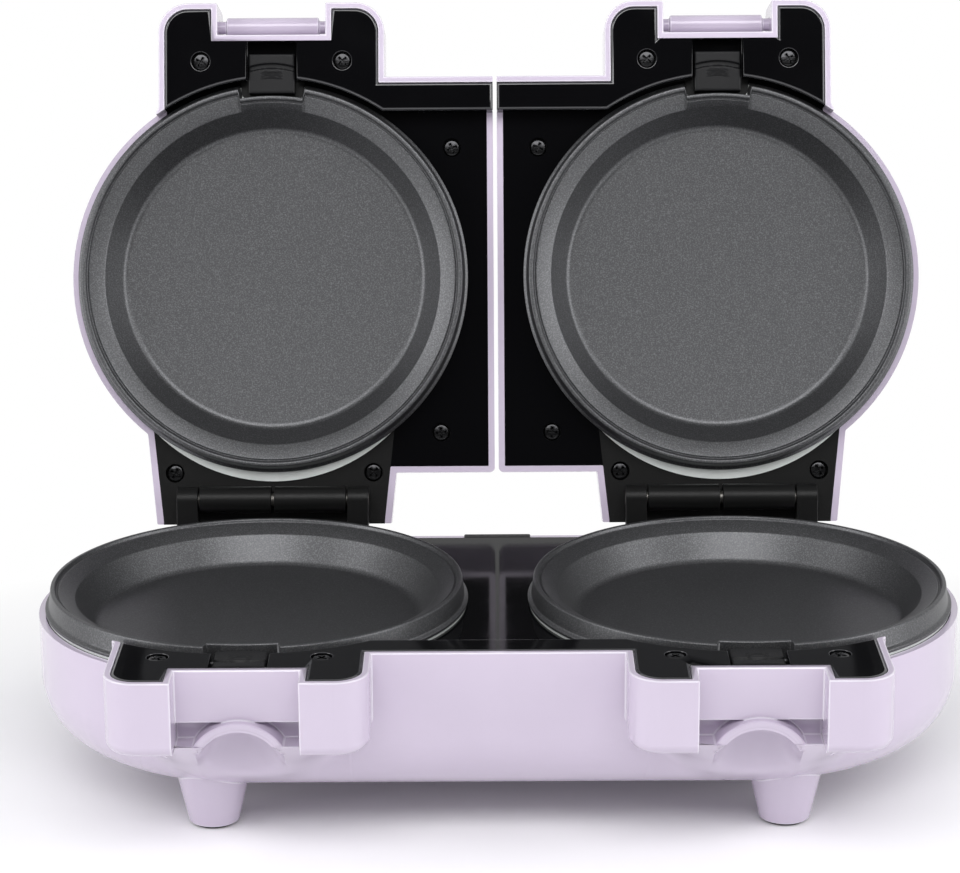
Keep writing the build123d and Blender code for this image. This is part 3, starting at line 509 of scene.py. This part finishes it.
def rounded_copy(node, width, body, has_strip=False):
    """A copy of one of the model's pieces with rounded edges, which stands in its place."""
    # The cord bush and the brackets have room on every edge, so they are measured about the
    # lid, where no edge of theirs is taken for a thin one.
    place = base_place() if "base" in node else lid_place()
    shape = bmesh.new()
    shape.from_mesh(nodes[node].data)
    bmesh.ops.remove_doubles(shape, verts=shape.verts, dist=0.000004)
    if node == "base_shell":
        chins = [face for face in shape.faces if on_chin(face)]
        bmesh.ops.delete(shape, geom=chins, context="FACES")
    bmesh.ops.dissolve_limit(shape, angle_limit=math.radians(0.4), verts=shape.verts, edges=shape.edges)
    shape.faces.layers.float.new("rounded")
    if has_strip:
        upright = sharp_edges(shape, place, upright_angle)
        outline = [edge for edge in upright if outline_of_strip(edge, place)]
        round_edges(shape, outline, strip_round, 4)
    round_edges(shape, sharp_edges(shape, place, sharp_angle), width, 2)
    piece = finish_piece(shape, node + "_moulded", slot_of[node], body, (node,))
    even = piece.modifiers.new("even_normals", "WEIGHTED_NORMAL")
    even.keep_sharp = True
    even.weight = 60
    print(piece.name, "faces:", len(piece.data.polygons))


rounded_copy("base_shell", 0.0005, "base")
rounded_copy("base_deck", 0.00025, "base", has_strip=True)
rounded_copy("cord_bush", 0.0006, "base")
for side in sides:
    rounded_copy(f"hinge_bracket_{side}", 0.0004, "base")
    rounded_copy(f"lid_shell_{side}", 0.0005, f"lid_{side}")
    rounded_copy(f"lid_cover_{side}", 0.00025, f"lid_{side}", has_strip=True)
    rounded_copy(f"hinge_block_{side}", 0.0004, f"lid_{side}")
    rounded_copy(f"latch_{side}", 0.0006, f"latch_{side}_body")

# %% [markdown]
# Round pieces are turned on a lathe: a half section is spun once round. The section is
# given in millimetres as corners, each with the radius that rounds it, because cast and
# pressed metal has no sharp corners.

# %% Lathe for round pieces
def rounded_line(corners, steps=4):
    """The points of a line through corners given as (out, up, radius)."""
    line = []
    for index, (out, up, radius) in enumerate(corners):
        here = Vector((out, up))
        if radius == 0:
            line.append(here)
            continue
        before = Vector(corners[index - 1][:2]) - here
        after = Vector(corners[index + 1][:2]) - here
        reach = radius / math.tan(before.angle(after) / 2)
        reach = min(reach, 0.49 * before.length, 0.49 * after.length)
        start = here + before.normalized() * reach
        end = here + after.normalized() * reach
        for step in range(steps + 1):
            t = step / steps
            line.append(start * (1 - t) ** 2 + here * 2 * t * (1 - t) + end * t ** 2)
    return line


def spun(corners, steps):
    """A round piece from its half section."""
    shape = bmesh.new()
    points = [shape.verts.new((p.x / 1000, 0, p.y / 1000)) for p in rounded_line(corners)]
    line = [shape.edges.new(pair) for pair in zip(points, points[1:])]
    bmesh.ops.spin(shape, geom=points + line, cent=(0, 0, 0), axis=(0, 0, 1), angle=math.tau,
                   steps=steps, use_merge=True)
    bmesh.ops.remove_doubles(shape, verts=shape.verts, dist=0.000002)
    bmesh.ops.recalc_face_normals(shape, faces=shape.faces)
    return shape


print("lathe ready")

# %% [markdown]
# A cooking plate is one casting: a flat pan with a sloping wall, a broad band, a fine
# groove, a rounded bead, and a skirt that turns out into a small lip. Where the release
# catch grips it, the band narrows and the bead and skirt step in. The ring is cut at
# both sides of that notch, and the points between the cuts are drawn towards the middle.

# %% Cooking plates
plate_section = [
    (0, -14.45, 0), (59.3, -14.45, 3.5), (66.1, -4.15, 1.4), (72.0, -1.15, 0.5),
    (72.5, -1.75, 0.35), (73.0, -1.2, 0.35), (73.3, -0.15, 0.6), (74.9, -0.15, 0.7),
    (75.7, -6.6, 0.9), (77.0, -7.3, 0.4), (77.0, -8.35, 0.3), (75.6, -8.35, 0.3),
    (75.2, -7.9, 0.5), (73.5, -3.7, 0.8), (68.3, -5.6, 1.5), (61.5, -16.75, 2.5), (0, -16.75, 0),
]
wall_top = 66.1
notch_half = 12.6
notch_cuts = (-13.2, -12.1, 12.1, 13.2)
notch_steps = [(0.0, 0.0), (wall_top, wall_top), (72.0, 68.6), (75.0, 71.2), (77.0, 71.8)]
notch_depth = 5.2


def notched(radius):
    """How far out a point of the rim lies once the notch draws it in."""
    for (r0, n0), (r1, n1) in zip(notch_steps, notch_steps[1:]):
        if radius <= r1:
            return n0 + (n1 - n0) * (radius - r0) / (r1 - r0)
    return radius - notch_depth


def cooking_plate():
    shape = spun(plate_section, 224)
    for cut in notch_cuts:
        front = [v for v in shape.verts if v.co.y < 0]
        parts = front + [e for e in shape.edges if e.verts[0].co.y < 0 and e.verts[1].co.y < 0]
        parts += [f for f in shape.faces if all(v.co.y < 0 for v in f.verts)]
        bmesh.ops.bisect_plane(shape, geom=parts, plane_co=(cut / 1000, 0, 0),
                               plane_no=(1, 0, 0), dist=0.00001)
    for point in shape.verts:
        radius = 1000 * math.hypot(point.co.x, point.co.y)
        if point.co.y < 0 and abs(point.co.x) < notch_half / 1000 and radius > wall_top:
            share = notched(radius) / radius
            point.co.x *= 1 - (1 - share) * 0.2
            point.co.y *= share
    return shape


put_on_both(cooking_plate(), "grill_plate", base_place(), "nonstick_coating",
            "base_plate_{}_body", "base_plate")
put_on_both(cooking_plate(), "lid_grill_plate", lid_place() @ turned_over, "nonstick_coating",
            "lid_plate_{}_body", "lid_plate")

# %% [markdown]
# Below each gap the housing runs down in a sloping chin that melts into the tub, with an
# arch over a hollow for the finger. The model has it with plain sides. Here it is one
# smooth skin: the slope and the tub are joined with a soft minimum, which fills the
# corner between them, and the hollow is pressed into it. A narrow lip along the arch
# rolls its edge over into the hollow. Such faces follow a formula rather than an
# operator's shape, so they are drawn as rows of points joined by a net of faces.

# %% Chins with their finger hollows
slope_front = -98.75
slope_rate = 1.239
lip_front = -98.6
hollow_depth = 21.0
hollow_top = -29.0
hollow_floor = -49.0
blend = 7.0
skin_lift = 0.06
skin_reach = 38
skin_rows = 28
skin_top = -27.3
skin_height = 24.7
lip_steps = 60


def soft_step(value, start, end):
    """Goes smoothly from 0 to 1 as a value goes from start to end."""
    share = min(1.0, max(0.0, (value - start) / (end - start)))
    return share * share * (3 - 2 * share)


def net(shape, rows):
    """Joins each row of points to the next one with faces."""
    for first, second in zip(rows, rows[1:]):
        for index in range(len(first) - 1):
            shape.faces.new((first[index], first[index + 1], second[index + 1], second[index]))


def faced_forward(shape):
    """Turns the faces of an open skin so that they look to the front."""
    bmesh.ops.recalc_face_normals(shape, faces=shape.faces)
    if sum(face.normal.y * face.calc_area() for face in shape.faces) > 0:
        bmesh.ops.reverse_faces(shape, faces=shape.faces)
    return shape


def mouth_height(x):
    """Height of the arch's edge above a place across the gap."""
    return arch_centre + math.sqrt(max(0.0, mouth_radius ** 2 - x ** 2))


def chin_face(x, z, under_arch):
    """How far forward the chin's skin lies, in millimetres."""
    below = max(0.0, slope_top - z)
    beside = max(0.0, abs(x) - chin_half + 0.45 * below)
    slope = slope_front + slope_rate * below + 0.05 * beside ** 2
    mouth = mouth_height(x)
    inside = 1.0 if under_arch else soft_step(z, mouth + 0.6, mouth - 1.8)
    across = max(0.0, 1 - (x / mouth_radius) ** 2)
    hollow = slope + hollow_depth * across * inside * soft_step(z, hollow_floor, hollow_top)
    tub = tub_face(x, z) - skin_lift
    near = max(0.0, blend - abs(hollow - tub)) / blend
    return min(hollow, tub) - blend * near ** 2 / 4 * soft_step(-z, 52.0, 44.0)


def chin_column(x):
    """Places down the skin at one distance from the middle of the gap."""
    top = max(slope_top, mouth_height(x))
    back = chin_face(x, top, top > slope_top)
    front = lip_front if top > slope_top else back
    column = [(front + (back - front) * share, top) for share in (0, 0.35, 0.7, 1)]
    heights = [top - (top - slope_top) * share for share in (0.33, 0.67, 1)]
    column += [(chin_face(x, z, True), z) for z in heights]
    heights = [skin_top - skin_height * (step / skin_rows) for step in range(skin_rows + 1)]
    column += [(chin_face(x, z, False), z) for z in heights]
    last_y, last_z = column[-1]
    return column + [(last_y + 0.8, last_z + 0.3)]


def chin_skin():
    """The chin and what is beside it, with its outer edges tucked into the tub."""
    shape = bmesh.new()
    columns = []
    for x in range(-skin_reach, skin_reach + 1):
        sunk = 0.5 if abs(x) == skin_reach else 0.0
        places = [(x / 1000, (y + sunk) / 1000, z / 1000) for y, z in chin_column(x)]
        columns.append([shape.verts.new(place) for place in places])
    net(shape, columns)
    bmesh.ops.remove_doubles(shape, verts=shape.verts, dist=0.00001)
    bmesh.ops.dissolve_degenerate(shape, edges=shape.edges, dist=0.000005)
    return faced_forward(shape)


def arch_lip():
    """The arch's edge, rolled over into the hollow below it."""
    shape = bmesh.new()
    section = [(18.05, -98.3), (17.7, -98.7), (16.4, -98.76), (15.8, -98.68), (15.35, -98.4),
               (15.03, -97.95), (14.82, -97.3), (14.7, -96.4), (14.6, -94.5)]
    rows = []
    for step in range(lip_steps + 1):
        angle = math.radians(18 + 144 * step / lip_steps)
        sunk = 0.7 * soft_step(abs(step - lip_steps / 2), 20, 30)
        row = []
        for radius, front in section:
            x = radius * math.cos(angle)
            z = arch_centre + radius * math.sin(angle)
            slope = sunk + slope_front - 0.12 + slope_rate * max(0.0, slope_top - z)
            row.append(shape.verts.new((x / 1000, max(front, slope) / 1000, z / 1000)))
        rows.append(row)
    net(shape, rows)
    return faced_forward(shape)


put_on_both(chin_skin(), "chin", base_place(), "lilac_plastic", "base")
put_on_both(arch_lip(), "arch_lip", base_place(), "lilac_plastic", "base")

# %% [markdown]
# A release catch is a small block that slides in a channel. Its top is a little domed
# and carries a curved groove for the fingertip and three fine ribs inside the curve. The
# top is a fine net of points whose heights follow those forms, and its rim is extruded
# down to a flat underside.

# %% Release catches
catch_half = 9.0
catch_front = -87.8
catch_back = -72.3
catch_crown = -1.95
catch_underside = -7.05
groove_radius = 31.0
groove_front = -83.6
groove_depth = 1.2
rib_height = 0.3
rib_half = 4.6
rib_places = (2.9, 4.0, 5.1)


def catch_top(x, y):
    """Height of the catch's top, in millimetres."""
    height = catch_crown - 0.3 * (x / catch_half) ** 2
    inward = groove_radius - math.hypot(x, y - groove_front - groove_radius)
    height -= groove_depth * soft_step(abs(inward - 0.5), 1.25, 0.6)
    for rib in rib_places:
        across = soft_step(abs(x), rib_half, rib_half - 1.0)
        height += rib_height * soft_step(abs(inward - rib), 0.42, 0.12) * across
    edge = min(catch_half - abs(x), y - catch_front, catch_back - y)
    return height - 0.7 * (1 - soft_step(edge, -0.5, 0.9)) ** 2


def release_catch():
    shape = bmesh.new()
    rows = []
    for down in range(63):
        y = catch_front + (catch_back - catch_front) * down / 62
        places = [(-catch_half + 0.3 * step, y) for step in range(61)]
        rows.append([shape.verts.new((x / 1000, y / 1000, catch_top(x, y) / 1000)) for x, y in places])
    net(shape, rows)
    rim = [edge for edge in shape.edges if len(edge.link_faces) == 1]
    made = bmesh.ops.extrude_edge_only(shape, edges=rim)["geom"]
    low = [part for part in made if isinstance(part, bmesh.types.BMVert)]
    for point in low:
        point.co.z = catch_underside / 1000
    lines = [part for part in made if isinstance(part, bmesh.types.BMEdge)]
    outline = [line for line in lines if line.verts[0] in low and line.verts[1] in low]
    bmesh.ops.contextual_create(shape, geom=outline)
    bmesh.ops.recalc_face_normals(shape, faces=shape.faces)
    return shape


put_on_both(release_catch(), "catch_block", base_place(), "dark_matte_plastic",
            "base_catch_{}_body", "base_catch")
put_on_both(release_catch(), "lid_catch_block", lid_place() @ turned_over, "dark_matte_plastic",
            "lid_catch_{}_body", "lid_catch")

# %% [markdown]
# Every screw has a cross recess. The recess is drawn as a cross, sunk and narrowed
# towards its floor, and the face round it is filled out to the rounded edge of the head.

# %% Screws
round_points = 32
head_profile = [(0.00265, -0.00002), (0.00305, -0.00018), (0.00328, -0.0006), (0.0033, -0.0019),
                (0.0031, -0.002), (0.0015, -0.002)]
recess_depth = 0.0013
floor_share = 0.62


def ring_edges(shape, ring):
    """The edges along a closed ring of points."""
    return [shape.edges.get((ring[i], ring[(i + 1) % len(ring)])) for i in range(len(ring))]


def screw(length):
    """A screw about its own axis, with the top of its head at 0."""
    shape = bmesh.new()
    arm = 0.0021
    half = 0.00042
    cross = [(arm, -half), (arm, half), (half, half), (half, arm), (-half, arm), (-half, half),
             (-arm, half), (-arm, -half), (-half, -half), (-half, -arm), (half, -arm), (half, -half)]
    mouth = [shape.verts.new((x, y, 0)) for x, y in cross]
    floor = [shape.verts.new((floor_share * x, floor_share * y, -recess_depth)) for x, y in cross]
    angles = [math.tau * step / round_points for step in range(round_points)]
    loops = []
    for radius, height in head_profile + [(0.0015, -length)]:
        places = [(radius * math.cos(angle), radius * math.sin(angle), height) for angle in angles]
        loops.append([shape.verts.new(place) for place in places])
    for first, second in [(mouth, floor)] + list(zip(loops, loops[1:])):
        for index in range(len(first)):
            after = (index + 1) % len(first)
            shape.faces.new((first[index], first[after], second[after], second[index]))
    shape.faces.new(floor)
    shape.faces.new(loops[-1])
    between_rings = ring_edges(shape, loops[0]) + ring_edges(shape, mouth)
    bmesh.ops.triangle_fill(shape, edges=between_rings, use_beauty=True)
    bmesh.ops.recalc_face_normals(shape, faces=shape.faces)
    return shape


def screws_at(places, length):
    """Several screws in one shape, each turned a little differently, as driven screws are."""
    joined = bmesh.new()
    for index, (x, y, top) in enumerate(places):
        one = screw(length)
        turn = Matrix.Rotation(0.5 + 1.9 * index, 4, "Z")
        bmesh.ops.transform(one, matrix=Matrix.Translation((x, y, top)) @ turn, verts=one.verts)
        mesh = bpy.data.meshes.new("one_screw")
        one.to_mesh(mesh)
        one.free()
        joined.from_mesh(mesh)
        bpy.data.meshes.remove(mesh)
    return joined


def both_halves(shape, place):
    """One shape that holds a left-hand shape and its mirror image."""
    bmesh.ops.transform(shape, matrix=place, verts=shape.verts)
    other = bmesh.ops.duplicate(shape, geom=shape.verts[:] + shape.edges[:] + shape.faces[:])["geom"]
    turned = [part for part in other if isinstance(part, bmesh.types.BMVert)]
    faces = [part for part in other if isinstance(part, bmesh.types.BMFace)]
    bmesh.ops.transform(shape, matrix=mirrored, verts=turned)
    bmesh.ops.reverse_faces(shape, faces=faces)
    return shape


deck_places = [(x, -0.0817, -0.0012) for x in (-0.0279, 0.0279)]
bracket_places = [(x, 0.091, -0.015) for x in (-0.0392, 0.0392)]
cover_places = [(-0.0279, -0.0849, -0.0022), (0.0279, -0.0849, -0.0022),
                (0.0708, -0.0512, -0.01085), (0.066, 0.0616, -0.01085)]
hinge_places = [(x, 0.0772, -0.01085) for x in (-0.0392, 0.0392)]
finish_piece(both_halves(screws_at(deck_places, 0.012), base_place()), "deck_screw_heads",
             "blackened_steel", "base", ("deck_screws",))
finish_piece(both_halves(screws_at(bracket_places, 0.012), base_place()), "bracket_screw_heads",
             "blackened_steel", "base", ("bracket_screws",))
put_on_both(screws_at(cover_places, 0.012), "cover_screw_heads", lid_place() @ turned_over,
            "blackened_steel", "lid_{}", "lid_cover_screws")
put_on_both(screws_at(hinge_places, 0.01), "hinge_screw_heads", lid_place() @ turned_over,
            "blackened_steel", "lid_{}", "hinge_screws")

# %% [markdown]
# In the notch of each plate one sees the floor of the catch's channel, which runs in
# over the bowl's steel edge as a thin black tongue. At the hinge end of a lid the black
# hinge block laps over the lilac edge as a thin sill. Both are flat outlines, extruded.

# %% Channel tongues and hinge sills
tongue_outline = [(-12.6, -79.0), (12.6, -79.0), (12.4, -72.6),
                  (10.8, -70.9), (-10.8, -70.9), (-12.4, -72.6)]
sill_outline = [(-43.8, 94.5), (43.8, 94.5), (43.6, 97.5), (-43.6, 97.5)]


def flat_strip(outline, top, underside):
    """A thin strip with the given outline and heights, in millimetres."""
    shape = bmesh.new()
    face = shape.faces.new([shape.verts.new((x / 1000, y / 1000, top / 1000)) for x, y in outline])
    made = bmesh.ops.extrude_face_region(shape, geom=[face])["geom"]
    for point in made:
        if isinstance(point, bmesh.types.BMVert):
            point.co.z = underside / 1000
    bmesh.ops.recalc_face_normals(shape, faces=shape.faces)
    return shape


def channel_tongue():
    return flat_strip(tongue_outline, -8.43, -8.6)


def hinge_sill():
    return flat_strip(sill_outline, -9.25, -9.6)


put_on_both(hinge_sill(), "hinge_sill", lid_place() @ turned_over, "black_matte_plastic", "lid_{}")
put_on_both(channel_tongue(), "channel_tongue", base_place(), "black_matte_plastic", "base")
put_on_both(channel_tongue(), "lid_channel_tongue", lid_place() @ turned_over,
            "black_matte_plastic", "lid_{}")

# %% [markdown]
# The picture is taken on a white table that runs up behind as a white wall. The floor
# must stay white in the picture yet keep the appliance's shadow, so it is a pale matt
# surface near the appliance, and to the camera it glows white further off. The world
# behind is plain white to the camera. What glossy surfaces mirror is white behind the
# appliance and dark in front of it, as in a studio where only the backdrop is lit.

# %% Floor and background
table_white = (0.93, 0.93, 0.93)
glow_start = 0.2
glow_full = 0.32
mirrored_dark = 0.12
mirrored_bright = 0.9


def make_floor():
    grid = bmesh.new()
    bmesh.ops.create_grid(grid, x_segments=1, y_segments=1, size=6.0)
    mesh = bpy.data.meshes.new("studio_floor")
    grid.to_mesh(mesh)
    grid.free()
    floor = bpy.data.objects.new("studio_floor", mesh)
    bpy.context.scene.collection.objects.link(floor)
    material, tree, shader, place = new_finish("studio_white", table_white, 0.75)
    shader.inputs["Specular IOR Level"].default_value = 0.25
    about = tree.nodes.new("ShaderNodeMapping")
    about.inputs["Location"].default_value = (0, 0.1, 0)
    about.inputs["Scale"].default_value = (0.8, 1, 1)
    tree.links.new(place, about.inputs["Vector"])
    away = tree.nodes.new("ShaderNodeVectorMath")
    away.operation = "LENGTH"
    tree.links.new(about.outputs["Vector"], away.inputs[0])
    far = between(tree, away.outputs["Value"], glow_start, glow_full, 0.0, 1.0)
    path = tree.nodes.new("ShaderNodeLightPath")
    seen = tree.nodes.new("ShaderNodeMath")
    seen.operation = "MAXIMUM"
    tree.links.new(path.outputs["Is Camera Ray"], seen.inputs[0])
    tree.links.new(path.outputs["Is Glossy Ray"], seen.inputs[1])
    share = tree.nodes.new("ShaderNodeMath")
    share.operation = "MULTIPLY"
    tree.links.new(far, share.inputs[0])
    tree.links.new(seen.outputs["Value"], share.inputs[1])
    white = tree.nodes.new("ShaderNodeEmission")
    choice = tree.nodes.new("ShaderNodeMixShader")
    tree.links.new(share.outputs["Value"], choice.inputs["Fac"])
    tree.links.new(shader.outputs["BSDF"], choice.inputs[1])
    tree.links.new(white.outputs["Emission"], choice.inputs[2])
    tree.links.new(choice.outputs["Shader"], tree.nodes["Material Output"].inputs["Surface"])
    mesh.materials.append(material)


def make_world():
    """Soft light all round, plain white to the camera, and half dark in reflections."""
    world = bpy.data.worlds.new("studio_world")
    bpy.context.scene.world = world
    world.use_nodes = True
    tree = world.node_tree
    result = tree.nodes["Background"]
    result.inputs["Color"].default_value = (0.95, 0.96, 1.0, 1)
    result.inputs["Strength"].default_value = 0.47
    seen = tree.nodes.new("ShaderNodeBackground")
    seen.inputs["Color"].default_value = (1, 1, 1, 1)
    seen.inputs["Strength"].default_value = 1.0
    direction = tree.nodes.new("ShaderNodeSeparateXYZ")
    place = tree.nodes.new("ShaderNodeTexCoord").outputs["Generated"]
    tree.links.new(place, direction.inputs["Vector"])
    glossy = tree.nodes.new("ShaderNodeBackground")
    light = between(tree, direction.outputs["Y"], -0.2, 0.5, mirrored_dark, mirrored_bright)
    tree.links.new(light, glossy.inputs["Strength"])
    path = tree.nodes.new("ShaderNodeLightPath")
    rays = (("Is Glossy Ray", glossy), ("Is Transmission Ray", seen), ("Is Camera Ray", seen))
    for ray, shown in rays:
        choice = tree.nodes.new("ShaderNodeMixShader")
        tree.links.new(path.outputs[ray], choice.inputs["Fac"])
        tree.links.new(result.outputs[0], choice.inputs[1])
        tree.links.new(shown.outputs[0], choice.inputs[2])
        result = choice
    tree.links.new(result.outputs[0], tree.nodes["World Output"].inputs["Surface"])


make_floor()
make_world()
print("floor and background made")

# %% [markdown]
# Large soft lamps light glossy plastic best, because what shows on it is their
# reflection. One broad lamp hangs above and in front, and two upright ones at the sides
# draw soft lines down the rounded ends.

# %% Lamps
def soft_lamp(name, place, target, width, height, power):
    data = bpy.data.lights.new(name, "AREA")
    data.shape = "RECTANGLE"
    data.size = width
    data.size_y = height
    data.energy = power
    lamp = bpy.data.objects.new(name, data)
    lamp.location = place
    lamp.rotation_euler = (Vector(target) - Vector(place)).to_track_quat("-Z", "Y").to_euler()
    bpy.context.scene.collection.objects.link(lamp)


middle = (0, 0, 0.1)
soft_lamp("lamp_above", (0, -1.2, 1.4), middle, 1.6, 0.8, 17)
soft_lamp("lamp_left", (-1.3, -0.5, 0.6), middle, 0.9, 1.2, 10)
soft_lamp("lamp_right", (1.3, -0.5, 0.6), middle, 0.9, 1.2, 10)
print("lamps made")

# %% [markdown]
# The finished object is the model's own size but for what the rounds take off. At last
# the scene is brought up to date.

# %% Bring the scene up to date
bpy.context.view_layer.update()
